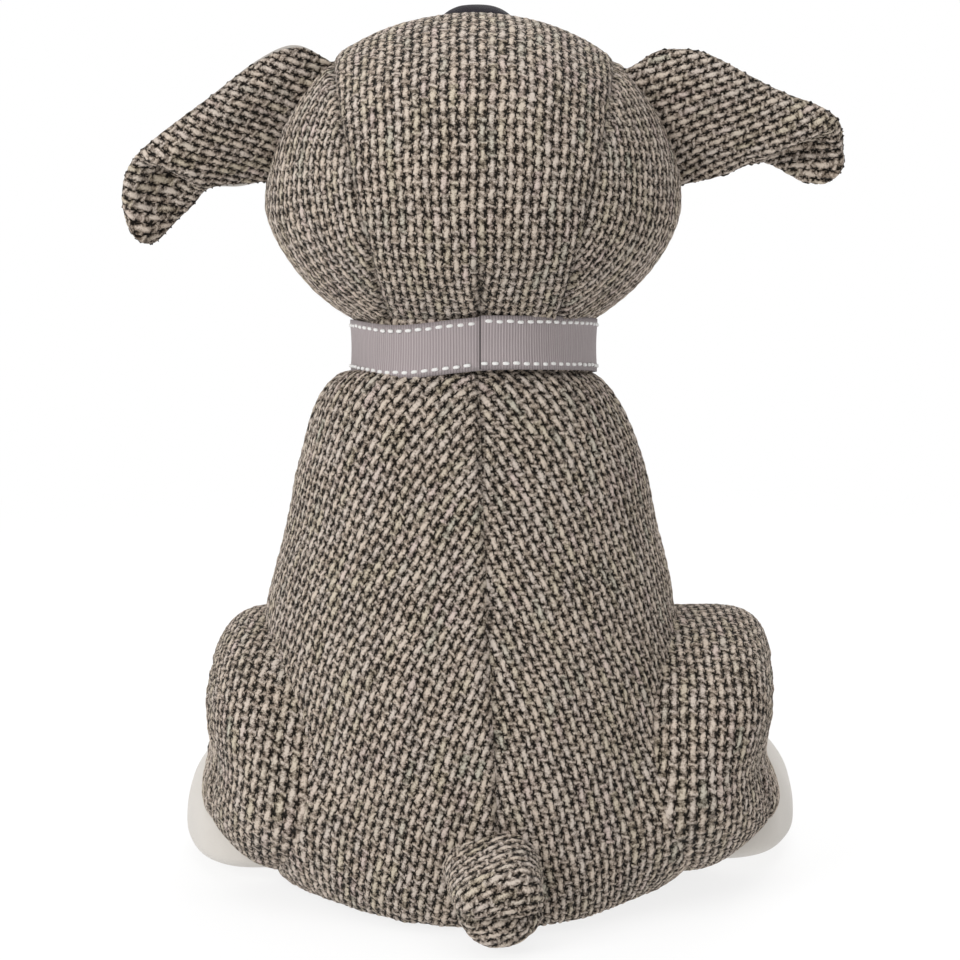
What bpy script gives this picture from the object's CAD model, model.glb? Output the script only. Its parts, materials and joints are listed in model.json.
import json
import math
import bpy
import numpy as np
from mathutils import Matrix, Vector
from mathutils.kdtree import KDTree


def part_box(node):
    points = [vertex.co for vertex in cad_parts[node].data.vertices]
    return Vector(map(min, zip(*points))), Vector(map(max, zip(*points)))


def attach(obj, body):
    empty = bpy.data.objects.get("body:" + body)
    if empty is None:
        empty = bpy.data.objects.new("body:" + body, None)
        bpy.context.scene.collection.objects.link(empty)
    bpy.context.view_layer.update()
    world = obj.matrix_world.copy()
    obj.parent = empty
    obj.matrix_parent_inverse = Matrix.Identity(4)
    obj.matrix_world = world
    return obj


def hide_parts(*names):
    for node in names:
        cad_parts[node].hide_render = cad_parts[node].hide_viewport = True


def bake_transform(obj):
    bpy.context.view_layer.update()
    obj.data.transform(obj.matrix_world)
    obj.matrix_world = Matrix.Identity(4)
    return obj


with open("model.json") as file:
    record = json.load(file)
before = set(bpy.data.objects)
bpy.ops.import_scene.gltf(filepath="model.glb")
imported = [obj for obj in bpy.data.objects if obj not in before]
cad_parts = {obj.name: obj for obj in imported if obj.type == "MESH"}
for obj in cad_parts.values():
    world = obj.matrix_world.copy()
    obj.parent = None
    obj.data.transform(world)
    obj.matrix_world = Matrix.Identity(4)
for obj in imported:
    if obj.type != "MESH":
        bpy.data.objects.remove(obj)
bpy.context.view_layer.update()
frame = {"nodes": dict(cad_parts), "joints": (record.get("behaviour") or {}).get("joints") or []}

# ---------- sizes and choices
MM = 0.001
COLUMN_PITCH = 2.5 * MM        # spacing of the tweed's upright threads
ROW_PITCH = 3.4 * MM           # spacing of its cross threads
WEAVE_RELIEF = 0.75 * MM       # from the holes to the top of a thread
WEAVE_MIDDLE = 0.62            # the weave's average height, which stays on the cover's surface
SEAM_DEPTH = 1.0 * MM          # how far a seam draws the cloth in
SHALLOW_SEAM = 0.2 * MM        # on the ears and the neck
SEAM_WIDTH = 1.3 * MM
PUCKER_HEIGHT = 0.7 * MM
PUCKER_REACH = 6.0 * MM
FILLING_PRESSURE = 4.0
PUFF_LIMIT = 1.6 * MM          # the furthest the filling may push any cloth
CLOTH_FRAMES = 20
PANEL_SHIFT = 0.4137           # each panel is cut from another place of the cloth, this far apart in metres
SEWN_DART = 1.0                # mark of a vertex on a dart
PATTERN_CUT = 0.5              # mark of one on a join of the pattern that hides under the piece

JOINTS = {joint["name"]: joint for joint in frame["joints"]}
SIDES = {"left": 1.0, "right": -1.0}


def joint_place(name):
    """A joint's pivot and axis as arrays."""
    joint = JOINTS[name]
    return np.array(joint["pos_m"], float), np.array(joint["axis"], float)


def union_box(*nodes):
    """The lowest and highest corner of several CAD nodes together."""
    boxes = [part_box(node) for node in nodes]
    low = np.min([np.array(low) for low, high in boxes], axis=0)
    high = np.max([np.array(high) for low, high in boxes], axis=0)
    return low, high


def box_middle(node):
    """A CAD node's middle and half sizes."""
    low, high = union_box(node)
    return (low + high) / 2, (high - low) / 2


NECK, NECK_AXIS = joint_place("head_turn")
NECK_SIDE = np.array([1.0, 0.0, 0.0])
NECK_REAR = np.cross(NECK_AXIS, NECK_SIDE)
RIBBON_RADIUS = box_middle("collar_ribbon")[1][0]
RIBBON_HALF = 7.8 * MM             # half its width
RIBBON_SAG = 2.6 * MM              # how far it hangs down at its slack place
RIBBON_SLACK = 1.3 * MM            # how far it stands off the neck there
RIBBON_TILT = math.radians(11.5)   # the collar stands higher at the back than square on the neck
LAP_START = math.radians(116)      # the hidden end, seen from above, counted from the dog's left
LAP_END = math.radians(-267.5)     # the end that lies on top at the back
STITCH_PITCH = 3.1 * MM
STITCH_INSET = 1.75 * MM           # from the ribbon's edge to the middle of a stitch


# ---------- small maths
def smooth(a, b, x):
    """0 below a, 1 above b, and a smooth rise between."""
    t = np.clip((np.asarray(x, float) - a) / (b - a), 0, 1)
    return t * t * (3 - 2 * t)


def bump(x, width):
    """1 at 0, falling off like a bell over width."""
    return np.exp(-(np.asarray(x, float) / width) ** 2)


def unit(v):
    """Vectors made one long."""
    v = np.asarray(v, float)
    return v / np.maximum(np.linalg.norm(v, axis=-1, keepdims=True), 1e-12)


def circle(count):
    """Evenly spaced angles all round."""
    return np.linspace(0, 2 * math.pi, count, endpoint=False)


def through(keys, values, x):
    """A smooth curve through given values, without overshoot."""
    keys = np.asarray(keys, float)
    values = np.asarray(values, float)
    steps = np.diff(values) / np.diff(keys)
    slopes = np.concatenate([[steps[0]], (steps[1:] + steps[:-1]) / 2, [steps[-1]]])
    slopes[1:-1][steps[1:] * steps[:-1] <= 0] = 0
    x = np.clip(x, keys[0], keys[-1])
    i = np.clip(np.searchsorted(keys, x, side="right") - 1, 0, len(keys) - 2)
    span = keys[i + 1] - keys[i]
    t = (x - keys[i]) / span
    rise = t * t * (3 - 2 * t)
    start = t * (1 - t) ** 2 * slopes[i] * span
    end = -t * t * (1 - t) * slopes[i + 1] * span
    return values[i] * (1 - rise) + values[i + 1] * rise + start + end


def scatter(cells):
    """A repeatable random number from 0 to 1 for each whole-number cell."""
    mixed = np.sin(cells @ np.array([127.1, 311.7, 74.7])) * 43758.5453
    return mixed - np.floor(mixed)


def noise(points, size):
    """Smooth noise from -1 to 1 that changes over a distance of about size."""
    p = np.asarray(points, float) / size
    base = np.floor(p)
    f = p - base
    f = f * f * (3 - 2 * f)
    total = np.zeros(len(p))
    for corner in np.ndindex(2, 2, 2):
        corner = np.array(corner, float)
        weight = np.prod(np.where(corner > 0, f, 1 - f), axis=1)
        total += weight * scatter(base + corner)
    return 2 * total - 1


# ---------- the weave, for arrays and for shader nodes
def weave(s, t, maths):
    """A plump plain weave: upright and cross threads take turns on top, with dark holes between.

    s and t are counted in threads. Returns the height, from 0 in the holes to about 1 on the tufts.
    """
    s = s + 0.08 * maths.sin(0.83 * t + 2.1 * maths.sin(0.23 * s))
    t = t + 0.10 * maths.sin(0.71 * s + 1.9 * maths.sin(0.19 * t))
    turn = 2 * math.pi
    column = maths.floor(s + 0.08)
    row = maths.floor(t + 0.5)
    y = t - row
    x = s - column - 0.42
    side = maths.cos((x - 0.16 * y) * turn)
    step = maths.cos((y + 0.30 * x) * turn)
    upright_rise = maths.cos((t + column) * math.pi)
    cross_rise = maths.cos((x + column + row) * math.pi)
    upright = maths.sqrt(maths.sqrt(maths.maximum(side + 0.55, 0.0))) * (0.72 + 0.17 * upright_rise)
    cross = maths.sqrt(maths.maximum(step + 0.14, 0.0)) * (0.70 + -0.10 * cross_rise)
    return maths.maximum(upright, cross)


class Flow:
    """A number passed between shader nodes; the arithmetic signs add maths nodes."""

    def __init__(self, tree, socket):
        self.tree = tree
        self.socket = socket

    def step(self, operation, *others):
        node = self.tree.nodes.new("ShaderNodeMath")
        node.operation = operation
        for place, value in enumerate((self,) + others):
            if isinstance(value, Flow):
                self.tree.links.new(value.socket, node.inputs[place])
            else:
                node.inputs[place].default_value = value
        return Flow(self.tree, node.outputs[0])

    def __add__(self, other):
        return self.step("ADD", other)

    __radd__ = __add__

    def __sub__(self, other):
        return self.step("SUBTRACT", other)

    def __mul__(self, other):
        return self.step("MULTIPLY", other)

    __rmul__ = __mul__


class NodeMaths:
    """The same function names as numpy, for numbers in shader nodes."""
    sin = staticmethod(lambda a: a.step("SINE"))
    cos = staticmethod(lambda a: a.step("COSINE"))
    sqrt = staticmethod(lambda a: a.step("SQRT"))
    floor = staticmethod(lambda a: a.step("FLOOR"))
    maximum = staticmethod(lambda a, b: a.step("MAXIMUM", b))


# ---------- material helpers
class Paint:
    """Short names for building one node material."""

    def __init__(self, name):
        self.material = bpy.data.materials.new(name)
        self.material.use_nodes = True
        self.tree = self.material.node_tree
        self.shader = self.tree.nodes["Principled BSDF"]

    def node(self, kind, **inputs):
        """A new node; inputs are given by name, with _ for a space, as values or sockets."""
        node = self.tree.nodes.new("ShaderNode" + kind)
        for key, value in inputs.items():
            self.feed(node, key.replace("_", " "), value)
        return node

    def feed(self, node, key, value):
        if isinstance(value, Flow):
            value = value.socket
        if isinstance(value, bpy.types.NodeSocket):
            self.tree.links.new(value, node.inputs[key])
        else:
            node.inputs[key].default_value = value

    def surface(self, **inputs):
        for key, value in inputs.items():
            self.feed(self.shader, key.replace("_", " "), value)

    def flow(self, socket):
        return Flow(self.tree, socket)

    def noise(self, vector, scale, detail=2.0, roughness=0.5):
        node = self.node("TexNoise", Vector=vector, Scale=scale, Detail=detail, Roughness=roughness)
        return self.flow(node.outputs["Fac"])

    def ramp(self, factor, stops):
        """A colour ramp from (position, colour) stops."""
        node = self.node("ValToRGB", Fac=factor)
        elements = node.color_ramp.elements
        while len(elements) < len(stops):
            elements.new(0.5)
        for element, (position, colour) in zip(elements, stops):
            element.position = position
            element.color = (*colour, 1.0)
        return node.outputs["Color"]

    def mix(self, factor, first, second, blend="MIX"):
        """Two colours mixed by factor."""
        node = self.tree.nodes.new("ShaderNodeMix")
        node.data_type = "RGBA"
        node.blend_type = blend
        for place, value in ((0, factor), (6, first), (7, second)):
            self.feed(node, place, (*value, 1.0) if isinstance(value, tuple) else value)
        return node.outputs[2]

    def relief(self, height, distance):
        """Raises the surface by height times distance, in metres."""
        node = self.node("Bump", Height=height, Distance=distance, Strength=1.0)
        self.surface(Normal=node.outputs["Normal"])

    def object_place(self):
        return self.node("TexCoord").outputs["Object"]

    def fabric_place(self):
        """The cloth's own coordinates in metres: both together, then each as a flow."""
        uv = self.node("UVMap")
        uv.uv_map = "fabric"
        split = self.node("SeparateXYZ", Vector=uv.outputs["UV"])
        return uv.outputs["UV"], self.flow(split.outputs["X"]), self.flow(split.outputs["Y"])


def tweed_material():
    """Thick woven tweed: light plump threads over nearly black gaps, every tuft a little different."""
    yarn_colours = [
        (0.0, (0.98, 0.90, 0.80)),
        (0.30, (1.0, 0.93, 0.85)),
        (0.58, (0.98, 0.93, 0.88)),
        (0.78, (0.93, 0.88, 0.74)),
        (0.93, (1.0, 0.90, 0.87)),
        (1.0, (0.86, 0.88, 0.78)),
    ]
    dark_to_light = [
        (0.20, (0.010, 0.008, 0.006)),
        (0.36, (0.050, 0.040, 0.032)),
        (0.54, (0.185, 0.158, 0.137)),
        (0.76, (0.350, 0.313, 0.284)),
        (1.0, (0.62, 0.570, 0.53)),
    ]
    paint = Paint("tweed")
    place, across, along = paint.fabric_place()
    coarse = paint.noise(place, 420.0, 2.0, 0.6) - 0.5
    swapped = paint.node("CombineXYZ", X=along, Y=across, Z=3.7)
    curl = paint.noise(swapped.outputs["Vector"], 380.0, 2.0, 0.6) - 0.5
    s = across * (1 / COLUMN_PITCH) + coarse * 0.55
    t = along * (1 / ROW_PITCH) + curl * 0.55
    height = weave(s, t, NodeMaths)
    column = (s + 0.08).step("FLOOR")
    tuft = paint.node("CombineXYZ", X=column, Y=((t + column) * 0.5 + 0.5).step("FLOOR"))
    random = paint.node("TexWhiteNoise", Vector=tuft.outputs["Vector"])
    split = paint.node("SeparateColor", Color=random.outputs["Color"])
    shade, tint = (paint.flow(split.outputs[name]) for name in ("Red", "Green"))
    fibres = paint.noise(place, 1300.0, 4.0, 0.8)
    blotches = paint.noise(place, 110.0)
    lit = height * height * 0.35 + height * 0.90 + fibres * 2.3
    lit = lit + shade * 0.16 + blotches * 0.20 - 1.49
    colour = paint.mix(1.0, paint.ramp(lit, dark_to_light), paint.ramp(tint, yarn_colours), "MULTIPLY")
    crease = paint.node("Attribute")
    crease.attribute_name = "crease"
    colour = paint.mix(paint.flow(crease.outputs["Fac"]) * 0.35, colour, (0.02, 0.016, 0.013))
    paint.surface(Base_Color=colour, Roughness=0.95, Specular_IOR_Level=0.08)
    paint.surface(Sheen_Weight=0.08, Sheen_Roughness=0.5)
    paint.relief(height * 0.75 + fibres * 0.9, 0.6 * MM)
    return paint.material


def cream_material(name, colour, pile):
    """Smooth brushed fabric with a short pile and faint mottling."""
    paint = Paint(name)
    place = paint.object_place()
    fine = paint.noise(place, 2200.0 * pile, 3.0, 0.7)
    broad = paint.noise(place, 90.0)
    dark = tuple(c * 0.86 for c in colour)
    paint.surface(Base_Color=paint.mix(fine * 0.6 + broad * 0.4, dark, colour), Roughness=0.9)
    paint.surface(Sheen_Weight=0.3, Sheen_Roughness=0.45, Specular_IOR_Level=0.2)
    paint.relief(fine + broad * 0.6, 0.22 * MM)
    return paint.material


def nose_material():
    """Black short-pile cloth with a grey sheen."""
    paint = Paint("nose_cloth")
    fine = paint.noise(paint.object_place(), 2400.0, 3.0, 0.7)
    paint.surface(Base_Color=paint.mix(fine, (0.006, 0.005, 0.008), (0.020, 0.016, 0.022)), Roughness=0.8)
    paint.surface(Sheen_Weight=0.08, Sheen_Roughness=0.4, Specular_IOR_Level=0.15)
    paint.relief(fine, 0.25 * MM)
    return paint.material


def ribbon_material():
    """Grosgrain: fine ribs across the band, darker along the woven edges and at the cut end."""
    rib_pitch = 0.85 * MM
    paint = Paint("ribbon")
    place, along, across = paint.fabric_place()
    ribs = (along * (2 * math.pi / rib_pitch)).step("SINE")
    threads = paint.noise(place, 3000.0)
    streaks = ribs * 0.35 + threads * 0.35 + paint.noise(place, 60.0) * 0.25 + 0.15
    colour = paint.mix(streaks, (0.250, 0.212, 0.216), (0.425, 0.370, 0.372))
    edge = ((across * (1 / RIBBON_HALF)).step("ABSOLUTE") - 0.86).step("GREATER_THAN", 0.0)
    colour = paint.mix(edge * 0.35, colour, (0.16, 0.14, 0.14))
    cut_end = (along + (LAP_END * RIBBON_RADIUS + 0.5 * MM)).step("GREATER_THAN", 0.0)
    colour = paint.mix(cut_end * 0.85, colour, (0.05, 0.04, 0.04))
    paint.surface(Base_Color=colour, Roughness=0.62)
    paint.surface(Sheen_Weight=0.2, Sheen_Roughness=0.4, Specular_IOR_Level=0.35)
    paint.relief(ribs * 0.5 + threads * 0.4, 0.16 * MM)
    return paint.material


def thread_material(name, colour):
    """Twisted sewing thread."""
    paint = Paint(name)
    twist = paint.noise(paint.object_place(), 1800.0)
    dark = tuple(c * 0.7 for c in colour)
    paint.surface(Base_Color=paint.mix(twist, dark, colour), Roughness=0.7, Sheen_Weight=0.2)
    paint.relief(twist, 0.12 * MM)
    return paint.material


def plastic_material(name, colour, roughness):
    """Moulded plastic with faint unevenness in its polish."""
    paint = Paint(name)
    wear = paint.noise(paint.object_place(), 500.0)
    lighter = tuple(c * 1.5 + 0.004 for c in colour)
    paint.surface(Base_Color=paint.mix(wear, colour, lighter), Roughness=wear * 0.05 + roughness)
    paint.relief(wear, 0.02 * MM)
    return paint.material


TWEED = tweed_material()
CREAM = cream_material("cream_cloth", (0.62, 0.585, 0.54), 1.0)
COTTON = cream_material("bag_cotton", (0.62, 0.58, 0.48), 0.6)
NOSE = nose_material()
RIBBON = ribbon_material()
STITCHES = thread_material("white_thread", (0.85, 0.84, 0.82))
DARK_THREAD = thread_material("dark_thread", (0.03, 0.025, 0.03))
EYE = plastic_material("eye_plastic", (0.004, 0.004, 0.005), 0.06)
WASHER = plastic_material("washer_plastic", (0.55, 0.55, 0.54), 0.45)


# ---------- mesh helpers
def mesh_object(name, points, faces, material):
    mesh = bpy.data.meshes.new(name)
    mesh.from_pydata([tuple(p) for p in points], [], faces)
    mesh.polygons.foreach_set("use_smooth", np.ones(len(faces), bool))
    mesh.materials.append(material)
    mesh.update()
    obj = bpy.data.objects.new(name, mesh)
    bpy.context.scene.collection.objects.link(obj)
    return obj


def read(items, name, width=1, kind=float):
    """A number, or width numbers, of every item of a mesh as an array."""
    values = np.zeros(len(items) * width, kind)
    items.foreach_get(name, values)
    return values.reshape(-1, width) if width > 1 else values


def coordinates(obj):
    return read(obj.data.vertices, "co", 3)


def set_coordinates(obj, points):
    obj.data.vertices.foreach_set("co", np.asarray(points, np.float32).ravel())
    obj.data.update()


def normals(obj):
    return read(obj.data.vertex_normals, "vector", 3)


def face_corners(mesh):
    """The vertex at every corner of every face."""
    return read(mesh.loops, "vertex_index", 1, np.int32)


def store(obj, name, values):
    """Keeps one number per vertex under a name."""
    attribute = obj.data.attributes.new(name, "FLOAT", "POINT")
    attribute.data.foreach_set("value", np.asarray(values, np.float32))


def closed_grid(name, rings, first_pole, last_pole, panels, material):
    """A closed surface from rings of points between two poles.

    Each ring runs counter-clockwise seen from the first pole. panels[row][column] says which sewn
    panel a face belongs to; it has one row more than there are rings, as each pole has its own fan.
    """
    rows, columns = rings.shape[:2]
    points = np.concatenate([rings.reshape(-1, 3), [first_pole, last_pole]])
    start, end = rows * columns, rows * columns + 1
    faces = []
    for c in range(columns):
        d = (c + 1) % columns
        faces.append((start, c, d))
        for row in range(0, start - columns, columns):
            faces.append((row + c, row + columns + c, row + columns + d, row + d))
        faces.append((start - columns + c, end, start - columns + d))
    obj = mesh_object(name, points, faces, material)
    attribute = obj.data.attributes.new("panel", "INT", "FACE")
    attribute.data.foreach_set("value", np.asarray(panels, np.int32).T.ravel())
    return obj


def face_panels(obj):
    """The sewn panel that each face belongs to."""
    return read(obj.data.attributes["panel"].data, "value", 1, np.int32)


def edge_ends(obj):
    """The two vertices of every edge."""
    return read(obj.data.edges, "vertices", 2, np.int32)


def mark_dart(obj, vertices, value):
    """Marks vertices as lying on a dart, or on a join that isn't seen."""
    marks = np.zeros(len(obj.data.vertices))
    marks[vertices] = value
    store(obj, "dart", marks)


def dart_marks(obj):
    """1 for vertices on a dart, less on a hidden join, 0 for all others."""
    if "dart" in obj.data.attributes:
        return read(obj.data.attributes["dart"].data, "value")
    return np.zeros(len(obj.data.vertices))


def edge_panels(obj):
    """For every edge, the lowest and highest panel number beside it."""
    mesh = obj.data
    panel = np.repeat(face_panels(obj), read(mesh.polygons, "loop_total", 1, np.int32))
    edges = read(mesh.loops, "edge_index", 1, np.int32)
    low = np.full(len(mesh.edges), 10 ** 6)
    high = np.full(len(mesh.edges), -1)
    np.minimum.at(low, edges, panel)
    np.maximum.at(high, edges, panel)
    return low, high


def unwrap(obj):
    """Cuts a cover at its seams and lays its panels out in the layer called fabric."""
    low, high = edge_panels(obj)
    cut = dart_marks(obj)[edge_ends(obj)].min(1) > PATTERN_CUT * 0.9
    obj.data.edges.foreach_set("use_seam", (low != high) | cut)
    obj.data.uv_layers.new(name="fabric")
    bpy.ops.object.select_all(action="DESELECT")
    bpy.context.view_layer.objects.active = obj
    obj.select_set(True)
    bpy.ops.object.mode_set(mode="EDIT")
    bpy.ops.mesh.select_all(action="SELECT")
    bpy.ops.uv.unwrap(method="ANGLE_BASED", margin=0.0)
    bpy.ops.object.mode_set(mode="OBJECT")


def lay_flat(obj, turns, upward):
    """Flattens each sewn panel into cloth coordinates in metres.

    turns gives the angle of each panel's upright threads from the direction upward, in degrees,
    measured on the part of the panel that faces the rear.
    """
    unwrap(obj)
    mesh = obj.data
    layer = mesh.uv_layers["fabric"]
    flat = read(layer.data, "uv", 2)
    start = read(mesh.polygons, "loop_start", 1, np.int32)
    point = coordinates(obj)[face_corners(mesh)]
    # two edges of each face, in space and laid flat; then upward as a mix of the two, a1 and a2
    e1, e2 = (point[start + k] - point[start] for k in (1, 2))
    f1, f2 = (flat[start + k] - flat[start] for k in (1, 2))
    cross = np.cross(e1, e2)
    rearward = 0.02 + np.maximum(unit(cross)[:, 1], 0)
    area = np.linalg.norm(cross, axis=1) * rearward
    flat_area = np.abs(f1[:, 0] * f2[:, 1] - f1[:, 1] * f2[:, 0]) * rearward
    g11, g12, g22 = (e1 * e1).sum(1), (e1 * e2).sum(1), (e2 * e2).sum(1)
    determinant = np.maximum(g11 * g22 - g12 * g12, 1e-20)
    b1, b2 = (e1 * upward).sum(1), (e2 * upward).sum(1)
    a1 = (g22 * b1 - g12 * b2) / determinant
    a2 = (g11 * b2 - g12 * b1) / determinant
    headings = (a1[:, None] * f1 + a2[:, None] * f2) * area[:, None]
    panel = face_panels(obj)
    corner_panel = np.repeat(panel, read(mesh.polygons, "loop_total", 1, np.int32))
    for number in np.unique(panel):
        mine = panel == number
        x, y = headings[mine].sum(0)
        scale = math.sqrt(area[mine].sum() / max(flat_area[mine].sum(), 1e-12))
        angle = math.pi / 2 - math.atan2(y, x) + math.radians(turns.get(int(number), 0.0))
        turn = np.array([[math.cos(angle), -math.sin(angle)], [math.sin(angle), math.cos(angle)]])
        inside = corner_panel == number
        middle = flat[inside].mean(0)
        flat[inside] = (flat[inside] - middle) @ turn.T * scale + (number + 1) * PANEL_SHIFT
    layer.data.foreach_set("uv", flat.ravel())


def apply_modifiers(obj):
    graph = bpy.context.evaluated_depsgraph_get()
    finished = obj.evaluated_get(graph)
    mesh = bpy.data.meshes.new_from_object(finished, preserve_all_data_layers=True, depsgraph=graph)
    obj.modifiers.clear()
    obj.data = mesh


def refine(obj):
    """Smooth subdivision, twice, that keeps the cloth coordinates."""
    modifier = obj.modifiers.new("finer", "SUBSURF")
    modifier.levels = 2
    modifier.render_levels = 2
    modifier.uv_smooth = "NONE"
    apply_modifiers(obj)


def seam_points(obj):
    """The vertices where two sewn panels meet, and those on a dart."""
    low, high = edge_panels(obj)
    darts = np.flatnonzero(dart_marks(obj) > SEWN_DART * 0.8)
    return np.unique(np.concatenate([edge_ends(obj)[low != high].ravel(), darts]))


def puff(obj, held=()):
    """Lets the filling's pressure round out a cover between its seams, in a short cloth simulation.

    Seams stay where they are, and so do the vertices in held.
    """
    rest = coordinates(obj)
    group = obj.vertex_groups.new(name="held")
    group.add([int(i) for i in (*seam_points(obj), *held)], 1.0, "REPLACE")
    cloth = obj.modifiers.new("cloth", "CLOTH")
    settings = cloth.settings
    settings.quality = 4
    settings.mass = 0.3
    settings.tension_stiffness = 40.0
    settings.compression_stiffness = 40.0
    settings.shear_stiffness = 12.0
    settings.bending_stiffness = 3.0
    settings.use_pressure = True
    settings.uniform_pressure_force = FILLING_PRESSURE
    settings.vertex_group_mass = "held"
    settings.effector_weights.gravity = 0.0
    cloth.collision_settings.use_collision = False
    cloth.collision_settings.use_self_collision = False
    cloth.point_cache.frame_start = 1
    cloth.point_cache.frame_end = CLOTH_FRAMES
    scene = bpy.context.scene
    for frame_number in range(1, CLOTH_FRAMES + 1):
        scene.frame_set(frame_number)
    graph = bpy.context.evaluated_depsgraph_get()
    move = read(obj.evaluated_get(graph).data.vertices, "co", 3) - rest
    length = np.linalg.norm(move, axis=1, keepdims=True)
    move *= PUFF_LIMIT * np.tanh(length / PUFF_LIMIT) / np.maximum(length, 1e-9)
    obj.modifiers.clear()
    obj.vertex_groups.clear()
    scene.frame_set(1)
    set_coordinates(obj, rest + move)


def sew(obj, depth):
    """Draws the cloth in along its seams by depth, with small puckers beside them."""
    seam = seam_points(obj)
    point = coordinates(obj)
    tree = KDTree(len(seam))
    for index in seam:
        tree.insert(point[index], int(index))
    tree.balance()
    near = np.zeros(len(point))
    source = np.zeros((len(point), 3))
    for index, position in enumerate(point):
        found = tree.find(position)
        source[index], near[index] = found[0], found[2]
    share = depth / SEAM_DEPTH
    crease = bump(near, SEAM_WIDTH)
    pucker = noise(source, 5.0 * MM) * bump(near, PUCKER_REACH) * (1 - bump(near, 1.5 * MM))
    inward = depth * crease * (1 + 0.4 * noise(source, 3.0 * MM))
    store(obj, "crease", share * crease)
    set_coordinates(obj, point + normals(obj) * (share * PUCKER_HEIGHT * pucker - inward)[:, None])


def raise_weave(obj):
    """Moves the surface out and in with the weave, so the threads show in the outline too."""
    mesh = obj.data
    flat = read(mesh.uv_layers["fabric"].data, "uv", 2)
    height = weave(flat[:, 0] / COLUMN_PITCH, flat[:, 1] / ROW_PITCH, np)
    corner = face_corners(mesh)
    total = np.bincount(corner, height, len(mesh.vertices))
    share = np.maximum(np.bincount(corner, minlength=len(mesh.vertices)), 1)
    lift = (total / share - WEAVE_MIDDLE) * WEAVE_RELIEF
    set_coordinates(obj, coordinates(obj) + normals(obj) * lift[:, None])


def lumps(obj, height, size, seed):
    """Uneven filling: broad soft rises and hollows."""
    point = coordinates(obj)
    rise = noise(point + seed, size) + 0.5 * noise(point + seed + 0.3, size / 2)
    set_coordinates(obj, point + normals(obj) * (rise * height)[:, None])


def tweed_cover(obj, turns, upward=(0, 0, 1), held=(), puffed=True, seam_depth=SEAM_DEPTH):
    """The whole way from a sewn pattern to finished tweed."""
    lay_flat(obj, turns, upward)
    if puffed:
        puff(obj, held)
    refine(obj)
    sew(obj, seam_depth)
    raise_weave(obj)


# ---------- smooth cushions
TOP_AND_BOTTOM = np.array([[0, 0, 1.0], [0, 0, -1.0]])


def sphere_directions(rows, columns):
    """Rings of directions between the top and the bottom."""
    tilt = np.linspace(0, math.pi, rows + 2)[1:-1][:, None]
    turn = circle(columns)[None, :]
    up = np.cos(tilt) * np.ones_like(turn)
    return np.stack([np.sin(tilt) * np.cos(turn), np.sin(tilt) * np.sin(turn), up], -1)


def rounded(way, half, power):
    """Distance along unit directions to a rounded box with half sizes; power 2 is an ellipsoid."""
    total = (np.abs(way / half) ** power).sum(-1)
    return total ** (-1 / power)


def cushion(name, middle, half, power, material, grid, shape=None):
    """A smooth cushion round middle; shape, if given, moves the points of its surface."""
    rows, columns = grid
    parts = []
    for way in (sphere_directions(rows, columns), TOP_AND_BOTTOM):
        points = way * rounded(way, half, power)[..., None]
        parts.append(middle + (shape(points) if shape else points))
    rings, poles = parts
    obj = closed_grid(name, rings, poles[0], poles[1], np.zeros((rows + 1, columns)), material)
    refine(obj)
    return obj


# ---------- body
BODY_LOW, BODY_HIGH = union_box("chest_panel", "back_panel_left", "back_panel_right")
BODY_HALF = (BODY_HIGH[0] - BODY_LOW[0]) / 2
BODY_FRONT, BODY_REAR = -BODY_LOW[1], BODY_HIGH[1]
BODY_COLUMNS = 120
BODY_ROWS = 58
# share of the neck's height, then half width, front reach and rear reach as shares of the widest
BODY_PROFILE = (
    (0.003, 0.82, 0.80, 0.955),
    (0.028, 0.885, 0.88, 1.005),
    (0.080, 0.945, 0.94, 1.035),
    (0.160, 0.985, 0.98, 1.04),
    (0.280, 0.995, 1.00, 1.025),
    (0.440, 0.975, 0.98, 0.955),
    (0.560, 0.93, 0.95, 0.855),
    (0.680, 0.86, 0.91, 0.76),
    (0.790, 0.80, 0.87, 0.68),
    (0.865, 0.735, 0.83, 0.60),
    (0.905, 0.685, 0.80, 0.555),
    (0.935, 0.625, 0.76, 0.510),
    (0.955, 0.550, 0.69, 0.455),
)
BACK_SEAM_TOP, BACK_SEAM_FOOT = 3.0 * MM, -4.5 * MM
SIDE_SEAM_Y = 8.0 * MM
RIGHT_TUCK = 0.07              # how much narrower the lowest right corner is


def body_lean(height):
    """How far the body's middle stands to the left of the base at a height."""
    return NECK[0] * (1.25 * smooth(0.02, 0.09, height) + 0.3 * smooth(0.125, 0.15, height))


def body_radii(height):
    """The body's half width, front reach and rear reach at a height."""
    keys, half, front, rear = np.array(BODY_PROFILE).T
    shares = ((half, BODY_HALF), (front, BODY_FRONT), (rear, BODY_REAR))
    return [through(keys * NECK[2], share, height) * size for share, size in shares]


def body_rows():
    """Heights of the body's rings, even along its side and its seat, and their share of full size."""
    dense = np.linspace(BODY_PROFILE[-1][0], BODY_PROFILE[0][0], 400) * NECK[2]
    width = body_radii(dense)[0]
    under = np.linspace(1, 0.03, 80)
    height = np.concatenate([dense, dense[-1] * (0.3 + 0.7 * under)])
    shrink = np.concatenate([np.ones(400), under])
    width = np.concatenate([width, width[-1] * under])
    length = np.concatenate([[0], np.cumsum(np.hypot(np.diff(height), np.diff(width)))])
    even = np.linspace(0, length[-1], BODY_ROWS)
    return np.interp(even, length, height), np.interp(even, length, shrink)


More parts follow.
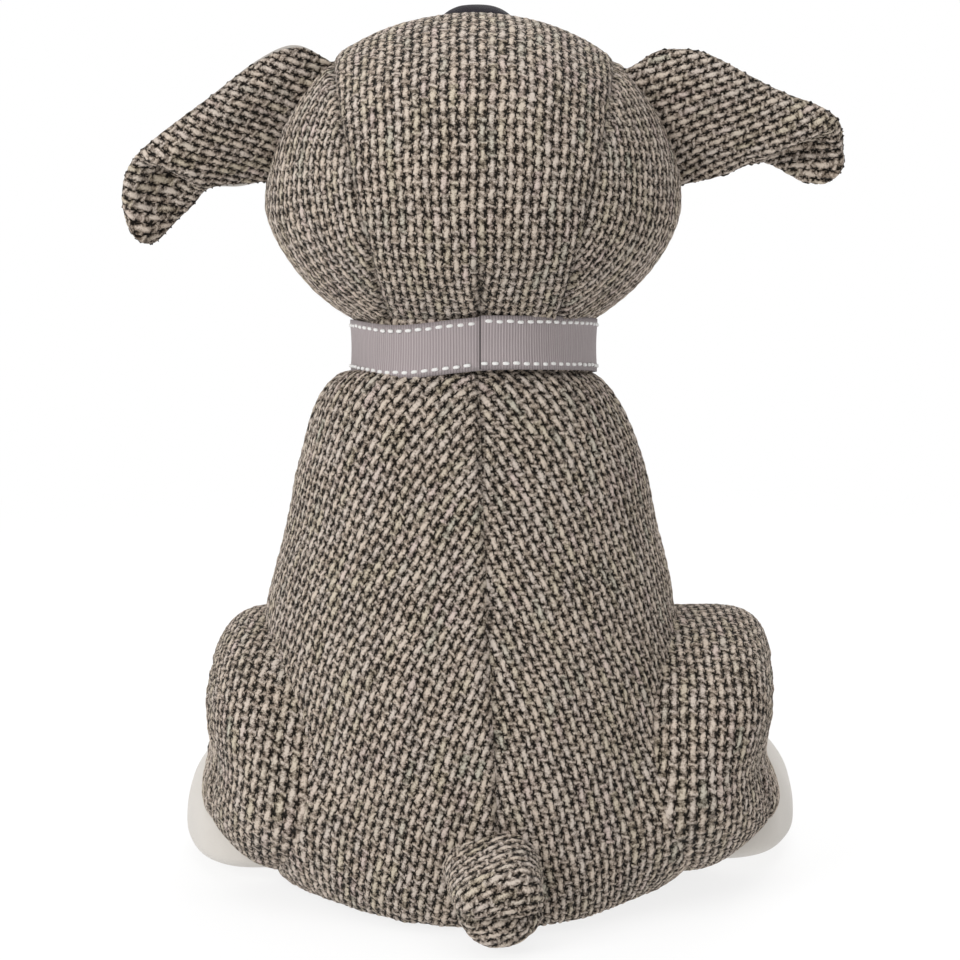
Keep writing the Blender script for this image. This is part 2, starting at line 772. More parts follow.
def body_cover():
    """The body's tweed: two back panels, two chest panels and the seat."""
    height, shrink = body_rows()
    a, f, b = (radius * shrink for radius in body_radii(height))
    lean = body_lean(height)
    seam_x = BACK_SEAM_FOOT + (BACK_SEAM_TOP - BACK_SEAM_FOOT) * height / NECK[2]
    column = np.arange(BODY_COLUMNS)
    quarter = BODY_COLUMNS / 4
    rings = np.zeros((BODY_ROWS, BODY_COLUMNS, 3))
    for r in range(BODY_ROWS):
        middle, reach = (b[r] - f[r]) / 2, (b[r] + f[r]) / 2
        side = math.asin(np.clip((SIDE_SEAM_Y * shrink[r] - middle) / reach, -0.5, 0.5))
        back = math.acos(np.clip((seam_x[r] - lean[r]) * shrink[r] / a[r], -0.4, 0.4))
        angle = np.interp(column, [0, quarter, 2 * quarter, 3 * quarter, 4 * quarter],
                          [side, back, math.pi - side, 1.5 * math.pi, 2 * math.pi + side])
        tuck = 1 - RIGHT_TUCK * smooth(16 * MM, 4 * MM, height[r]) * smooth(0.1, 0.7, -np.cos(angle))
        rings[r, :, 0] = lean[r] + a[r] * np.cos(angle) * tuck
        rings[r, :, 1] = middle + reach * np.sin(angle)
        tilt = RIBBON_TILT * smooth(0.11, 0.15, height[r])
        rings[r, :, 2] = height[r] + rings[r, :, 1] * math.sin(tilt)
    for side in SIDES.values():
        mirrored = rings * (side, 1, 1)
        out = unit(rings - np.stack([lean, lean * 0, height], -1)[:, None])
        rings = rings + out * fillet(haunch_distance(mirrored), rings[..., 2])[..., None] * (1, 1, 0)
    seat_row = int(np.searchsorted(-shrink, -0.999)) - 1
    panels = np.zeros((BODY_ROWS + 1, BODY_COLUMNS), int)
    panels[:] = (column // quarter).astype(int)
    panels[seat_row + 1:] = 4
    obj = closed_grid("body_cover", rings, rings[0].mean(0), rings[-1].mean(0), panels, TWEED)
    lumps(obj, 0.5 * MM, 34 * MM, 2.0)
    points = np.arange(BODY_ROWS * BODY_COLUMNS)
    held = points[(points < 3 * BODY_COLUMNS) | (points >= seat_row * BODY_COLUMNS)]
    tweed_cover(obj, {0: 16, 1: -16, 2: -6, 3: 6}, held=held)
    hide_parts("chest_panel", "back_panel_left", "back_panel_right", "base_panel", "body_filling")
    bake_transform(obj)


# ---------- hind legs
HAUNCH_MIDDLE = union_box("haunch_cover_left")[1] - np.array([25.6, 48.0, 43.5]) * MM
HAUNCH_HALF = np.array([25.6, 47.0, 43.0, 35.5]) * MM   # sideways, lengthwise, up and down
HAUNCH_POWER = 2.2
HAUNCH_SQUARENESS = {"left": 1.1, "right": 1.9}         # added to the power at the top
HAUNCH_CUFF = {"left": 3.0 * MM, "right": 5.5 * MM}     # how far the cloth bulges out over the foot
HAUNCH_PINCH = 1.2 * MM                                 # how far it is drawn in above the cuff
HAUNCH_SPREAD = {"left": 0.0, "right": 3.0 * MM}        # how far its top stands off the body
HAUNCH_SEAM = math.radians(48)                          # from its outermost point to the seam


def haunch_reach(way, squareness=HAUNCH_SQUARENESS["left"]):
    """Distance from the haunch's middle to its surface: a thick disc, squarer on top than below."""
    wide, long, up, down = HAUNCH_HALF
    upper = way[..., 2] > 0
    rim = np.sqrt((way[..., 1] / long) ** 2 + (way[..., 2] / np.where(upper, up, down)) ** 2)
    power = np.where(upper, HAUNCH_POWER + squareness * smooth(0, 0.6, way[..., 2]), HAUNCH_POWER)
    return ((np.abs(way[..., 0]) / wide) ** power + rim ** power) ** (-1 / power)


def haunch_distance(points):
    """How far points lie outside the left haunch."""
    offset = points - HAUNCH_MIDDLE
    length = np.maximum(np.linalg.norm(offset, axis=-1), 1e-6)
    return length - haunch_reach(offset / length[..., None])


def body_distance(points):
    """How far points lie outside the body, near its widest part."""
    a, f, b = body_radii(points[..., 2])
    across = points[..., 0] - body_lean(points[..., 2])
    along = points[..., 1] - (b - f) / 2
    share = np.sqrt((across / a) ** 2 + (along / ((b + f) / 2)) ** 2)
    return (1 - 1 / np.maximum(share, 0.05)) * np.hypot(across, along)


def fillet(distance, height):
    """How far the cloth bulges where body and haunch are sewn together, most of all low down."""
    reach = 26 * MM * smooth(58 * MM, 28 * MM, height) + 2 * MM
    near = np.clip(1 - np.abs(distance) / reach, 0, 1)
    return near ** 2 * reach / 4


def mirror_rings(rings):
    """Rings for the other side of the body, still counter-clockwise seen from their first pole."""
    flipped = rings * (-1, 1, 1)
    return flipped[:, ::-1]


def from_side(tilt, turn):
    """Directions tilted away from +X, turned about it from the rear upwards."""
    out = np.cos(tilt) * np.ones_like(turn)
    return np.stack([out, np.sin(tilt) * np.cos(turn), np.sin(tilt) * np.sin(turn)], -1)


def haunch_cover(name, side):
    """One haunch: a rounded outer panel sewn to a band that wraps over the thigh."""
    columns, rows = 72, 34
    seam_row, hidden_row = 9, 24
    tilt = np.interp(np.arange(rows), [-1, seam_row, rows], [0, HAUNCH_SEAM, math.pi])[:, None]
    turn = circle(columns)[None, :]
    way = from_side(tilt, turn)
    rings = HAUNCH_MIDDLE + way * haunch_reach(way, HAUNCH_SQUARENESS[name])[..., None]
    poles = HAUNCH_MIDDLE + np.array([[1.0, 0, 0], [-1.0, 0, 0]]) * HAUNCH_HALF[0]
    swell = fillet(body_distance(rings), rings[..., 2])
    rings = rings + way * (1, 1, 0) * swell[..., None]
    cuff = HAUNCH_CUFF[name] * bump(rings[..., 2] - 21 * MM, 11 * MM)
    pinch = HAUNCH_PINCH * bump(rings[..., 2] - 40 * MM, 9 * MM)
    spread = HAUNCH_SPREAD[name] * smooth(0, HAUNCH_HALF[2], rings[..., 2] - HAUNCH_MIDDLE[2])
    rings[..., 0] += (cuff - pinch) * smooth(0.2, 0.9, way[..., 0]) + spread
    panels = np.zeros((rows + 1, columns), int)
    panels[seam_row + 1:] = 1
    panels[hidden_row + 1:] = 2
    turns = {0: 8, 1: 8}
    underneath = 3 * columns // 4
    if side < 0:
        rings = mirror_rings(rings)
        panels = panels[:, ::-1]
        poles = poles * (-1, 1, 1)
        turns = {}
        underneath = columns // 4
    obj = closed_grid("haunch_cover_" + name, rings, poles[0], poles[1], panels, TWEED)
    mark_dart(obj, np.arange(seam_row, hidden_row + 1) * columns + underneath, PATTERN_CUT)
    lumps(obj, 0.4 * MM, 20 * MM, 8.0 + side)
    tweed_cover(obj, turns)
    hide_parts("haunch_cover_" + name, "haunch_filling_" + name)
    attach(obj, "body")


# sideways, how far behind the CAD foot's middle, and up, in mm
HIND_FOOT_PLACE = {"left": (67.9, 4.0, 0.3), "right": (-70.3, -5.0, 0.3)}


def hind_foot(name, side):
    """A long flat cream cushion that the haunch rests on, flatter below than above."""
    middle, half = box_middle("hind_foot_cover_" + name)
    sole = 9.5 * MM
    half = np.array([24.6 * MM, half[1], 2 * half[2] - sole])
    place = np.array(HIND_FOOT_PLACE[name]) * MM + (0, middle[1], sole)

    def shape(points):
        points[..., 2] *= np.where(points[..., 2] < 0, sole / half[2], 1)
        points[..., 0] *= 1 - 0.06 * smooth(0, half[1], points[..., 1])
        return points

    obj = cushion("hind_foot_" + name, place, half, 2.55, CREAM, (24, 44), shape)
    lumps(obj, 0.5 * MM, 22 * MM, 5.0 * side)
    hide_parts("hind_foot_cover_" + name, "hind_foot_filling_" + name)
    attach(obj, "body")


# ---------- tubes: front legs and tail
def tweed_tube(name, start, end, radii, step, blunt, side, section):
    """A stuffed tube closed at both ends, in two panels with a seam along each side.

    radii are those at the start and the end. section gives the distance of each column of points
    from the middle, as (one way, the other way) shares of the radius, beginning at side.
    """
    length = np.linalg.norm(end - start)
    along = (end - start) / length
    turn = np.linspace(0.12, math.pi / 2, 6)
    caps = [np.stack([radius * blunt * np.cos(turn), radius * np.sin(turn) ** 0.8], -1) for radius in radii]
    middle = np.arange(length - step, step / 2, -step)
    middle = np.stack([middle, radii[0] + (radii[1] - radii[0]) * middle / length], -1)
    table = np.concatenate([caps[1] + (length, 0), middle, caps[0][::-1] * (-1, 1)])
    path = start + along * table[:, :1]
    ring = section[:, :1] * side + section[:, 1:] * np.cross(along, side)
    rings = path[:, None] + ring * table[:, 1][:, None, None]
    panels = np.zeros((len(table) + 1, len(section)), int)
    panels[:, len(section) // 2:] = 1
    poles = end + along * radii[1] * blunt, start - along * radii[0] * blunt
    return closed_grid(name, rings, poles[0], poles[1], panels, TWEED)


# where the corners of the tail's section lie, in degrees, how far they stand out, and their width in degrees
TAIL_CORNERS = ((60, 0.20, 32), (155, 0.20, 28), (255, 0.08, 35))


def tail():
    """A stub of tweed, sewn flat along both sides and resting behind the seat."""
    root = joint_place("tail_wag")[0]
    middle, half = box_middle("tail_cover")
    tip = np.array([root[0] - 2.4 * MM, middle[1] + half[1] - 8.5 * MM, middle[2] - 1.6 * MM])
    start = root + np.array([0.5, -4, 2.5]) * MM
    turn = circle(28)
    out = np.full(28, 0.97)
    for degrees, height, width in TAIL_CORNERS:
        offset = (turn - math.radians(degrees) + math.pi) % (2 * math.pi) - math.pi
        out += height * bump(offset, math.radians(width))
    section = np.stack([np.cos(turn), np.sin(turn) * 0.95], -1) * out[:, None]
    side = unit(np.cross((0, 0, 1.0), tip - start))
    obj = tweed_tube("tail_cover", start, tip, (14.2 * MM, 12.6 * MM), 3.2 * MM, 0.55, side, section)
    tweed_cover(obj, {0: 62, 1: 60}, (0, -0.5, 1))
    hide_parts("tail_cover", "tail_filling")
    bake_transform(obj)


def front_leg(name, side):
    """A tweed tube from the chest to the floor, sewn down its front and back, on a cream paw."""
    shoulder = joint_place("front_leg_%s_swing" % name)[0]
    middle, half = box_middle("front_leg_cover_" + name)
    ankle = np.array([shoulder[0], middle[1] - half[1] + 14.0 * MM, 17.0 * MM])
    along = unit(ankle - shoulder)
    rear = unit(np.array([0.0, 1.0, 0.0]) - along * along[1])
    turn = circle(32)
    section = np.stack([np.cos(turn), np.sin(turn)], -1)
    radii = (15.2 * MM, 14.6 * MM)
    obj = tweed_tube("front_leg_" + name, shoulder, ankle, radii, 3.4 * MM, 0.8, rear, section)
    tweed_cover(obj, {})
    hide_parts("front_leg_cover_" + name, "front_leg_filling_" + name)
    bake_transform(obj)
    middle, half = box_middle("front_paw_cover_" + name)
    half = half + (0.8 * MM, 0.6 * MM, 0.6 * MM)
    place = np.array([middle[0], middle[1], half[2] + 0.4 * MM])
    paw = cushion("front_paw_" + name, place, half, 2.3, CREAM, (18, 32))
    lumps(paw, 0.3 * MM, 16 * MM, 9.0 * side)
    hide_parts("front_paw_cover_" + name, "front_paw_filling_" + name)
    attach(paw, "front_leg_" + name)


# ---------- head
HEAD_PANELS = ("head_side_panel_left", "head_side_panel_right", "head_back_panel", "face_panel")
HEAD_LOW, HEAD_HIGH = union_box(*HEAD_PANELS)
HEAD_MIDDLE = (HEAD_LOW + HEAD_HIGH) / 2
HEAD_MIDDLE[2] = HEAD_HIGH[2] - 57.0 * MM
HEAD_HALF_WIDTH = (HEAD_HIGH[0] - HEAD_LOW[0]) / 2 - 0.8 * MM
HEAD_HALF_DEPTH = (HEAD_HIGH[1] - HEAD_LOW[1]) / 2 - 0.5 * MM
HEAD_UPPER, HEAD_LOWER = 56.0 * MM, 46.0 * MM
FACE_PITCH = math.radians(20)
FACE_FORWARD = np.array([0, -math.cos(FACE_PITCH), math.sin(FACE_PITCH)])
FACE_UP = np.array([0, math.sin(FACE_PITCH), math.cos(FACE_PITCH)])
SEAM_NECK_X = 24.0 * MM        # where the side seams leave the collar
SEAM_SLOPE = 0.235             # how fast they spread upwards
CROWN_Y = -19.0 * MM           # where the band's two panels meet on top, in front of the head's middle
DART_TOP = -8.0 * MM           # the middle dart runs up from the collar to here, from the head's middle
DART_X = -2.0 * MM


def head_reach(way):
    """Distance from the head's middle to its surface along unit directions."""
    upper = way[..., 2] > 0
    flat = (way[..., 0] / HEAD_HALF_WIDTH) ** 2 + (way[..., 1] / HEAD_HALF_DEPTH) ** 2
    tall = np.abs(way[..., 2]) / np.where(upper, HEAD_UPPER, HEAD_LOWER)
    power = np.where(upper, 2.12, 1.68)
    reach = (flat ** (power / 2) + tall ** power) ** (-1 / power)
    toward_face = (way * FACE_FORWARD).sum(-1)
    return reach + 3.0 * MM * smooth(0.6, 1.0, toward_face)


def head_cover():
    """The head's tweed: side panels, and a band from the neck over the crown to the muzzle."""
    columns, side_rows, band_rows = 100, 14, 20
    rows = 2 * side_rows + band_rows + 1
    dart_row = side_rows + band_rows // 2
    turn = np.linspace(-math.pi / 2, 1.5 * math.pi, columns, endpoint=False)
    fine = np.linspace(0.02, math.pi - 0.02, 600)
    upper_side = slice(0, 320)
    rings = np.zeros((rows, columns, 3))
    for c, phi in enumerate(turn):
        way = from_side(fine, phi)
        surface = way * head_reach(way)[:, None]
        seam = SEAM_NECK_X + SEAM_SLOPE * (surface[:, 2] + 33.0 * MM)
        seam_tilt = np.interp(0, (seam - surface[:, 0])[upper_side], fine[upper_side])
        dart_tilt = np.interp(-DART_X, -surface[:, 0], fine)
        keys = [-1, side_rows, dart_row, side_rows + band_rows, rows]
        tilt = np.interp(np.arange(rows), keys, [0, seam_tilt, dart_tilt, math.pi - seam_tilt, math.pi])
        way = from_side(tilt, phi)
        rings[:, c] = way * head_reach(way)[:, None]
    on_dart = (turn < 0.2) & (rings[dart_row, :, 2] < DART_TOP)
    panels = np.zeros((rows + 1, columns), int)
    crown = math.pi / 2 - CROWN_Y / HEAD_UPPER
    panels[side_rows + 1: side_rows + band_rows + 1] = np.where(turn + math.pi / columns < crown, 1, 2)
    panels[side_rows + band_rows + 1:] = 3
    left, right = HEAD_MIDDLE + (HEAD_HALF_WIDTH, 0, 0), HEAD_MIDDLE - (HEAD_HALF_WIDTH, 0, 0)
    obj = closed_grid("head_cover", rings + HEAD_MIDDLE, left, right, panels, TWEED)
    mark_dart(obj, dart_row * columns + np.flatnonzero(on_dart), SEWN_DART)
    lumps(obj, 0.5 * MM, 30 * MM, 7.0)
    low = np.flatnonzero(coordinates(obj)[:, 2] < NECK[2] + 12 * MM)
    tweed_cover(obj, {0: -16, 3: 16}, held=low)
    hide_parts(*HEAD_PANELS, "head_filling")
    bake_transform(obj)


def on_face(points):
    """Points given sideways, forward and up in the face's own frame, turned into the shared frame."""
    sideways = np.array([1.0, 0, 0])
    return points[..., :1] * sideways + points[..., 1:2] * FACE_FORWARD + points[..., 2:3] * FACE_UP


MUZZLE_MIDDLE = box_middle("muzzle_cover")[0]
MUZZLE_HALF = np.array([27.0, 35.0, 22.5]) * MM
MUZZLE_POWER = 2.15


def muzzle():
    """The cream muzzle, with a faint groove down its front."""
    def shape(points):
        way = unit(points)
        in_front = smooth(0.2, 0.7, way[..., 1]) * smooth(0.35, 0.0, way[..., 2])
        groove = 0.045 * bump(points[..., 0], 1.6 * MM) * in_front
        return on_face(points * (1 - groove)[..., None] * (-1, 1, 1))

    obj = cushion("muzzle_cover", MUZZLE_MIDDLE, MUZZLE_HALF, MUZZLE_POWER, CREAM, (26, 44), shape)
    lumps(obj, 0.3 * MM, 18 * MM, 3.0)
    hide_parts("muzzle_cover", "muzzle_filling")
    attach(obj, "head")


def nose():
    """A rounded black nose, wider at the top."""
    middle = box_middle("nose_cover")[0] + np.array([-0.8, 0, 0.8]) * MM
    half = np.array([12.4, 8.5, 9.2]) * MM

    def shape(points):
        up = points[..., 2]
        points[..., 0] *= 1 + 0.05 * smooth(-half[2], half[2], up) - 0.16 * smooth(0, -half[2], up)
        return on_face(points * (-1, 1, 1))

    obj = cushion("nose", middle, half, 2.3, NOSE, (20, 36), shape)
    lumps(obj, 0.15 * MM, 7 * MM, 1.0)
    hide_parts("nose_cover", "nose_filling")
    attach(obj, "head")


def cord(name, path, radius, material):
    """A thin round thread along a path."""
    sides = 8
    along = unit(np.gradient(path, axis=0))
    helper = np.where(np.abs(along[:, :1]) > 0.8, (0, 0, 1.0), (1.0, 0, 0))
    side = unit(np.cross(along, helper))
    other = np.cross(along, side)
    angle = circle(sides)[None, :, None]
    number = np.arange(len(path))
    taper = np.minimum(1, np.minimum(number + 0.7, number[::-1] + 0.7) / 1.5)[:, None, None]
    rings = path[:, None] + (side[:, None] * np.cos(angle) + other[:, None] * np.sin(angle)) * radius * taper
    ends = path[-1] + along[-1] * radius * 0.5, path[0] - along[0] * radius * 0.5
    return closed_grid(name, rings[::-1], ends[0], ends[1], np.zeros((len(path) + 1, sides)), material)


def mouth():
    """A stitched line down from the nose and a smile on each side, on the muzzle's surface."""
    lines = {"middle": [(0, 1, up) for up in np.linspace(0.05, -0.32, 12)]}
    for name, side in SIDES.items():
        lines[name] = []
        for t in np.linspace(0, 1, 18):
            dip = 0.16 * math.sin(math.pi * min(t * 1.15, 1))
            lines[name].append((side * 0.62 * t, 1 - 0.1 * t, -0.32 - dip + 0.06 * t))
    for name, line in lines.items():
        way = unit(line)
        path = MUZZLE_MIDDLE + on_face(way * rounded(way, MUZZLE_HALF, MUZZLE_POWER)[:, None])
        obj = cord("mouth_" + name, path, 0.55 * MM, DARK_THREAD)
        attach(obj, "head")


# ---------- ears
# All in mm, sideways and up from the head's middle. edges: the upper and lower edge, from root to tip.
# fold: a line that the tip is folded along. hollow: middle, spread and depth of the folded tip's bowl.
# tuck: how far the cloth is drawn up under the fold. turn: the weave's heading, in degrees. lining_peek:
# how much wider the lining is near the root. slope: how far the ear stands back per mm sideways and up.
EARS = {
    "left": {
        "edges": ((36, 38, 57, 3), (43.5, 43.8, 62, 6.8), (52.6, 47.5, 68, 6.4), (64.5, 42.6, 74, 6.2),
                  (77, 33.4, 79, 4.8), (89.5, 24.2, 83.2, -0.4), (98.3, 17, 87, -3.6),
                  (102.8, 9.8, 90.3, -7), (103.8, 2.5, 92.6, -9.4), (102.8, -3.5, 94.5, -10.8),
                  (101.3, -7.2, 96.3, -11.1)),
        "tip": (99.2, -10.0),
        "fold": ((77.0, 4.6), (96.0, 14.4)),
        "hollow": ((91.0, 7.5), (9.5, 9.0), 9.5),
        "tuck": 3.2,
        "turn": 109.0,
        "lining_peek": 0.055,
        "slope": (0.25, 0.25),
    },
    "right": {
        "edges": ((36, 38, 57, 4), (46, 41.2, 62, 5.6), (56, 46.8, 68.5, 7), (67, 46, 76, 9.4),
                  (79, 40, 82.5, 12.2), (91, 33.9, 88.5, 9.8), (101, 30.3, 94.5, 7.2),
                  (106.6, 26.6, 99.5, 5.9), (109, 21.6, 103, 5.8), (109.6, 17, 105.5, 6.6),
                  (109.6, 13.2, 107.6, 8.6)),
        "tip": (109.0, 10.5),
        "fold": ((82.0, 12.0), (103.0, 22.5)),
        "hollow": ((97.5, 13.5), (13.0, 8.5), 9.5),
        "tuck": 3.6,
        "turn": 67.0,
        "lining_peek": 0.0,
        "slope": (0.08, 0.22),
    },
}
EAR_THICKNESS = 2.9 * MM
EAR_BEHIND = 4.0 * MM          # how far behind the head's middle the ears are sewn on
EAR_SLOPE_START = (45.0, 25.0)


def fold_tip(shape, flat):
    """Where points of the flat ear go when its tip is tucked under the fold: in its sheet, and forward."""
    start, end = (np.array(point) for point in shape["fold"])
    along = (end - start) / math.hypot(*(end - start))
    middle, spread, deep = shape["hollow"]
    offset = flat - start
    below = offset[..., 0] * along[1] - offset[..., 1] * along[0]
    bowl = np.exp(-(((flat - middle) / spread) ** 2).sum(-1))
    tuck = shape["tuck"] * bowl * smooth(0.0, 3.0, below) * smooth(13.0, 5.0, below)
    moved = flat + np.stack([-along[1] * tuck, along[0] * tuck], -1)
    return moved, deep * smooth(-0.6, 2.2, below) * bowl


def ear_slope(shape, flat):
    """How far the ear stands back: its tip and its upper edge the most."""
    return ((flat - EAR_SLOPE_START) * shape["slope"]).sum(-1)


def ear_piece(name, side, piece, facing, material):
    """The tweed back or the light lining of an ear, as a closed pad that faces +Y or -Y."""
    shape = EARS[name]
    edges = np.array(shape["edges"], float)
    rows, columns = 40, 52
    share = np.linspace(0, 1, rows)
    edge = np.stack([through(np.linspace(0, 1, len(edges)), edges[:, k], share) for k in range(4)], -1)
    top, bottom = edge[:, None, :2], edge[:, None, 2:]
    angle = circle(columns)
    across = (1 - np.sin(angle)) / 2
    flat = top + (bottom - top) * across[None, :, None]
    if piece == "lining":
        spread = 0.985 + shape["lining_peek"] * bump(share - 0.24, 0.10)
        flat = (top + bottom) / 2 + (flat - (top + bottom) / 2) * spread[:, None, None]
    outward = np.cos(angle) * facing
    pad = np.where(outward > 0, np.abs(outward) ** 0.6, 0.06 * np.abs(outward))
    fullness = 0.75 + 0.25 * np.sin(math.pi * np.minimum(share * 1.1, 1))
    thick = EAR_THICKNESS * fullness[:, None] * pad[None, :]
    moved, forward = fold_tip(shape, flat)
    rearward = (ear_slope(shape, moved) - forward) * MM
    roll = 3.5 * MM * bump(across, 0.16) + 2.0 * MM * bump(1 - across, 0.14)
    rings = np.stack([moved[..., 0] * MM, thick * facing + rearward - roll, moved[..., 1] * MM], -1)
    rings = rings[::-1]
    tip, tip_forward = fold_tip(shape, np.array(shape["tip"], float))
    end = np.array([tip[0], ear_slope(shape, tip) - tip_forward - 1.0, tip[1]]) * MM
    root = rings[-1].mean(0)
    front = np.cos(angle + math.pi / columns) * facing < 0
    if side < 0:
        rings, end, root = mirror_rings(rings), end * (-1, 1, 1), root * (-1, 1, 1)
        front = front[::-1]
    panels = np.zeros((rows + 1, columns), int)
    panels[:, front] = 1
    rings, end, root = (part + HEAD_MIDDLE + (0, EAR_BEHIND, 0) for part in (rings, end, root))
    return closed_grid("ear_%s_%s" % (name, piece), rings, end, root, panels, material)


def ear(name, side):
    """One folded ear, which bends at its root: a tweed back and a light lining."""
    pivot, axis = joint_place("ear_%s_flap" % name)
    out = unit(np.cross(axis, (0, 1.0, 0)))
    out = out * (1 if out[0] * side > 0 else -1)
    inside, outside = pivot - out * 7 * MM, pivot + out * 6 * MM
    back = ear_piece(name, side, "tweed", 1.0, TWEED)
    tweed_cover(back, {0: EARS[name]["turn"]}, puffed=False, seam_depth=SHALLOW_SEAM)
    lining = ear_piece(name, side, "lining", -1.0, CREAM)
    refine(lining)
    for obj, slot, node in ((back, "tweed", "ear_outer_"), (lining, "cream", "ear_lining_")):
        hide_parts(node + name)
        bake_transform(obj)


# ---------- collar
def ribbon_place(angle, across, lift):
    """Points on the ribbon: round the neck, up or down its width, and out from its face."""
    angle, across, lift = np.broadcast_arrays(np.asarray(angle, float), across, lift)
    lap = 1.1 * MM * smooth(math.radians(215), math.radians(250), -angle)
    slack = bump(angle - math.radians(55), math.radians(30))
    flare = 0.4 * MM * (across / RIBBON_HALF) ** 2
    radius = RIBBON_RADIUS - 0.7 * MM + lap + lift + RIBBON_SLACK * slack + flare
    rise = math.tan(RIBBON_TILT - math.asin(-NECK_AXIS[1])) * RIBBON_RADIUS * np.sin(angle)
    way = np.cos(angle)[..., None] * NECK_SIDE + np.sin(angle)[..., None] * NECK_REAR
    return NECK + way * radius[..., None] + NECK_AXIS * (across - RIBBON_SAG * slack + rise)[..., None]


def neck_cover():
    """The stuffed neck under the ribbon, which shows when the head nods: domed above and below."""
    columns = 48
    wall, dome_top, dome_foot, dome_inset = 7 * MM, 11 * MM, 6 * MM, 32 * MM
    angle = circle(columns) - math.pi
    bend = np.linspace(0.12, math.pi / 2, 8)[:, None]
    middle = np.linspace(5.0, -5.0, 5)[:, None] * MM
    across = np.concatenate([wall + dome_top * np.cos(bend), middle, -wall - dome_foot * np.cos(bend[::-1])])
    inset = dome_inset * np.concatenate([1 - np.sin(bend), middle * 0, 1 - np.sin(bend[::-1])])
    rings = ribbon_place(angle[None, :], across, -1.6 * MM - inset)
    panels = np.zeros((len(across) + 1, columns), int)
    panels[:, columns // 2:] = 1
    obj = closed_grid("neck_cover", rings, rings[0].mean(0), rings[-1].mean(0), panels, TWEED)
    tweed_cover(obj, {}, puffed=False, seam_depth=SHALLOW_SEAM)
    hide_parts("neck_filling")
    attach(obj, "neck")


def collar():
    """A ribbed ribbon wound once round the neck, its ends lapped at the back."""
    rows, steps = 1500, 15
    thickness, rib_height = 0.52 * MM, 0.05 * MM
    angle = np.linspace(LAP_START, LAP_END, rows)[:, None]
    rib = np.cos(np.arange(rows) * math.pi / 1.5)[:, None]
    across = np.concatenate([np.linspace(-1, 1, steps), np.linspace(1, -1, steps)]) * RIBBON_HALF
    face = np.repeat([1.0, -1.0], steps)
    share = across / RIBBON_HALF
    lift = thickness / 2 * face * (1 - 0.6 * np.abs(share) ** 12) + rib_height * rib * (face > 0)
    wave = 0.35 * MM * np.sin(angle * 5) * share
    points = ribbon_place(angle, across[None, :], lift + wave)
    columns = len(across)
    faces = []
    for row in range(0, (rows - 1) * columns, columns):
        for c in range(columns):
            d = (c + 1) % columns
            faces.append((row + c, row + d, row + columns + d, row + columns + c))
    faces.append(tuple(range(columns))[::-1])
    faces.append(tuple((rows - 1) * columns + c for c in range(columns)))
    obj = mesh_object("collar_ribbon", points.reshape(-1, 3), faces, RIBBON)
    uv = np.stack(np.broadcast_arrays(-angle * RIBBON_RADIUS, across), -1).reshape(-1, 2)
    layer = obj.data.uv_layers.new(name="fabric")
    layer.data.foreach_set("uv", uv[face_corners(obj.data)].ravel())
    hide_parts("collar_ribbon")
    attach(obj, "neck")


def collar_stitches():
    """White running stitches along both edges of the ribbon."""
    sides = 12
    half_width = 0.55 * MM
    layers = ((1.0, 0.15), (0.95, 0.50), (0.6, 0.78))      # share of full size, and height in mm
    step = STITCH_PITCH / RIBBON_RADIUS
    angles = np.arange(math.radians(88), LAP_END + step * 0.6, -step)
    around = circle(sides)
    lengthwise = np.sign(np.cos(around)) * np.abs(np.cos(around)) ** 0.6
    points, faces = [], []
    for row in (-1, 1):
        for number, angle in enumerate(angles + row * step * 0.2):
            jitter = scatter(np.array([number, row, 3.0])) - 0.5
            half_length = (1.02 + 0.16 * jitter) * MM
            across = row * (RIBBON_HALF - STITCH_INSET) + 0.25 * MM * jitter
            start = len(points)
            for scale, lift in layers:
                run = angle + lengthwise * half_length * scale / RIBBON_RADIUS
                points.extend(ribbon_place(run, across + np.sin(around) * half_width * scale, lift * MM))
            points.append(ribbon_place(angle, across, 0.84 * MM))
            faces.append(tuple(start + k for k in range(sides)))
            for k in range(sides):
                m = (k + 1) % sides
                for a in (start, start + sides):
                    faces.append((a + k, a + sides + k, a + sides + m, a + m))
                faces.append((start + 2 * sides + k, start + 3 * sides, start + 2 * sides + m))
    obj = mesh_object("collar_stitches", points, faces, STITCHES)
    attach(obj, "neck")


# ---------- what is inside
def weight_bag():
    """The lumpy cotton bag of pellets low in the body."""
    middle, half = box_middle("weight_bag")
    obj = cushion("weight_bag", middle, half, 2.0, COTTON, (16, 30))
    lumps(obj, 0.6 * MM, 7 * MM, 4.0)
    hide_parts("weight_bag", "weight_pellets")
    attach(obj, "body")


def hard_parts():
    """The eyes and their washers are shown as the CAD made them."""
    for name in SIDES:
        for node, material in (("eye_", EYE), ("eye_washer_", WASHER)):
            obj = frame["nodes"][node + name]
            obj.data.materials.clear()
            obj.data.materials.append(material)


# ---------- the room
def soft_light(name, place, size, power):
    """A square area light that points at the dog."""
    data = bpy.data.lights.new(name, "AREA")
    data.shape = "SQUARE"
    data.size = size
    data.energy = power
    light = bpy.data.objects.new(name, data)
    light.location = place
    light.rotation_euler = (Vector((0, 0, 0.13)) - Vector(place)).to_track_quat("-Z", "Y").to_euler()
    bpy.context.scene.collection.objects.link(light)


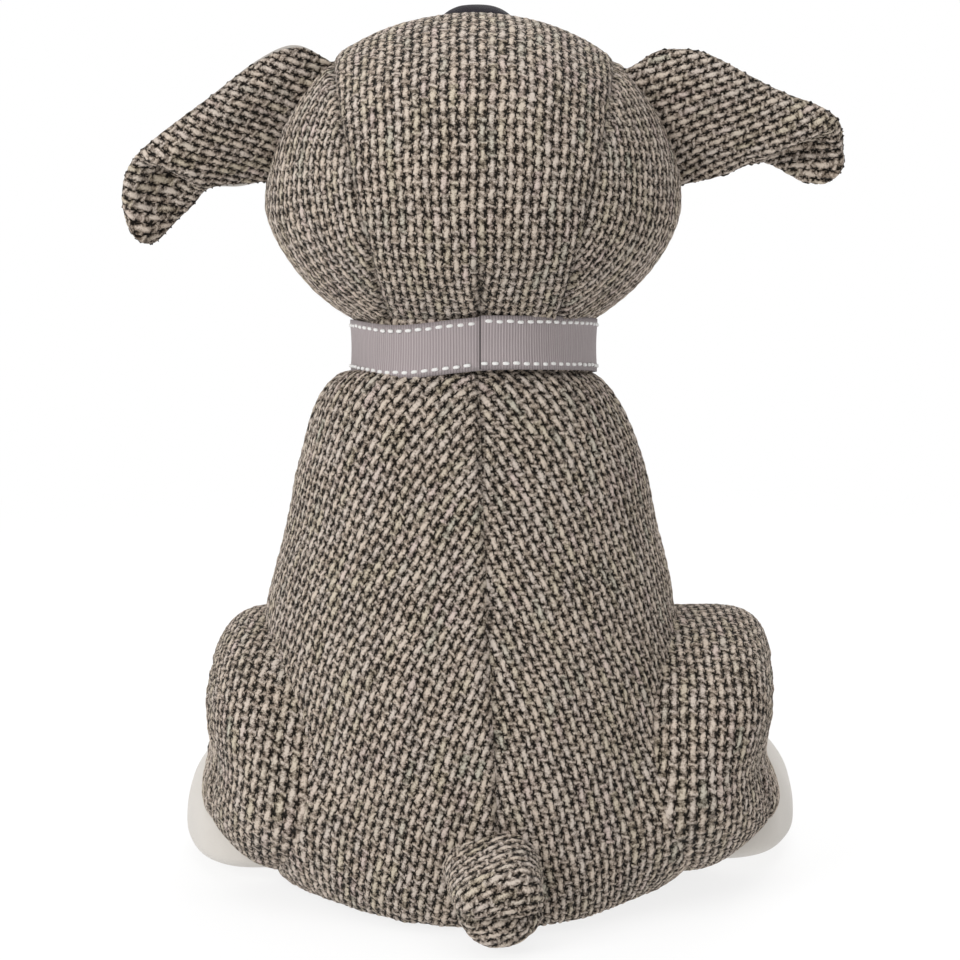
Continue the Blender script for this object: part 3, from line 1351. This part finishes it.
def floor():
    """A pale floor with a faint shadow, which fades into the white surround away from the dog."""
    size, fade_start, fade_end = 4.0, 0.15, 0.55
    paint = Paint("floor")
    paint.surface(Base_Color=(0.93, 0.93, 0.93, 1), Roughness=0.9)
    length = paint.node("VectorMath", Vector=paint.object_place())
    length.operation = "LENGTH"
    fade = paint.node("MapRange", Value=length.outputs["Value"], To_Min=0.8)
    fade.inputs["From Min"].default_value = fade_start
    fade.inputs["From Max"].default_value = fade_end
    fade.interpolation_type = "SMOOTHSTEP"
    blend = paint.node("MixShader", Fac=fade.outputs["Result"])
    paint.feed(blend, 1, paint.shader.outputs["BSDF"])
    paint.feed(blend, 2, paint.node("Emission").outputs["Emission"])
    paint.feed(paint.tree.nodes["Material Output"], "Surface", blend.outputs["Shader"])
    corners = [(-size, -size, 0), (size, -size, 0), (size, size, 0), (-size, size, 0)]
    mesh_object("floor", corners, [(0, 1, 2, 3)], paint.material)


def surround():
    """White all round, a little weaker as a light than as the camera sees it."""
    world = bpy.data.worlds.new("surround")
    world.use_nodes = True
    bpy.context.scene.world = world
    bpy.context.scene.view_settings.view_transform = "Standard"
    nodes, links = world.node_tree.nodes, world.node_tree.links
    background = nodes["Background"]
    background.inputs["Color"].default_value = (1, 1, 1, 1)
    strength = nodes.new("ShaderNodeMapRange")
    strength.inputs["To Min"].default_value = 0.62
    links.new(nodes.new("ShaderNodeLightPath").outputs["Is Camera Ray"], strength.inputs["Value"])
    links.new(strength.outputs["Result"], background.inputs["Strength"])


def lights():
    """Soft lights: the sharpest from the dog's left behind, the others to fill the shadows."""
    soft_light("key", (0.9, 0.9, 0.7), 0.7, 10.5)
    soft_light("fill", (-0.9, 0.9, 0.4), 0.8, 0.8)
    soft_light("front", (-0.3, -1.1, 0.8), 0.8, 7.0)
    soft_light("top", (0, 0, 1.6), 1.6, 12.0)


def camera():
    """Straight behind the dog and a little above it."""
    rise, distance = math.radians(12), 1.2
    target = Vector((0.0022, 0, 0.119))
    away = Vector((0, math.cos(rise), math.sin(rise))) * distance
    data = bpy.data.cameras.new("camera")
    data.lens = 150
    data.sensor_width = 36
    obj = bpy.data.objects.new("camera", data)
    obj.location = target + away
    obj.rotation_euler = (-away).to_track_quat("-Z", "Y").to_euler()
    bpy.context.scene.collection.objects.link(obj)
    bpy.context.scene.camera = obj


body_cover()
for side_name, side_sign in SIDES.items():
    haunch_cover(side_name, side_sign)
    hind_foot(side_name, side_sign)
    front_leg(side_name, side_sign)
    ear(side_name, side_sign)
tail()
head_cover()
muzzle()
nose()
mouth()
neck_cover()
collar()
collar_stitches()
weight_bag()
hard_parts()
floor()
surround()
lights()
camera()
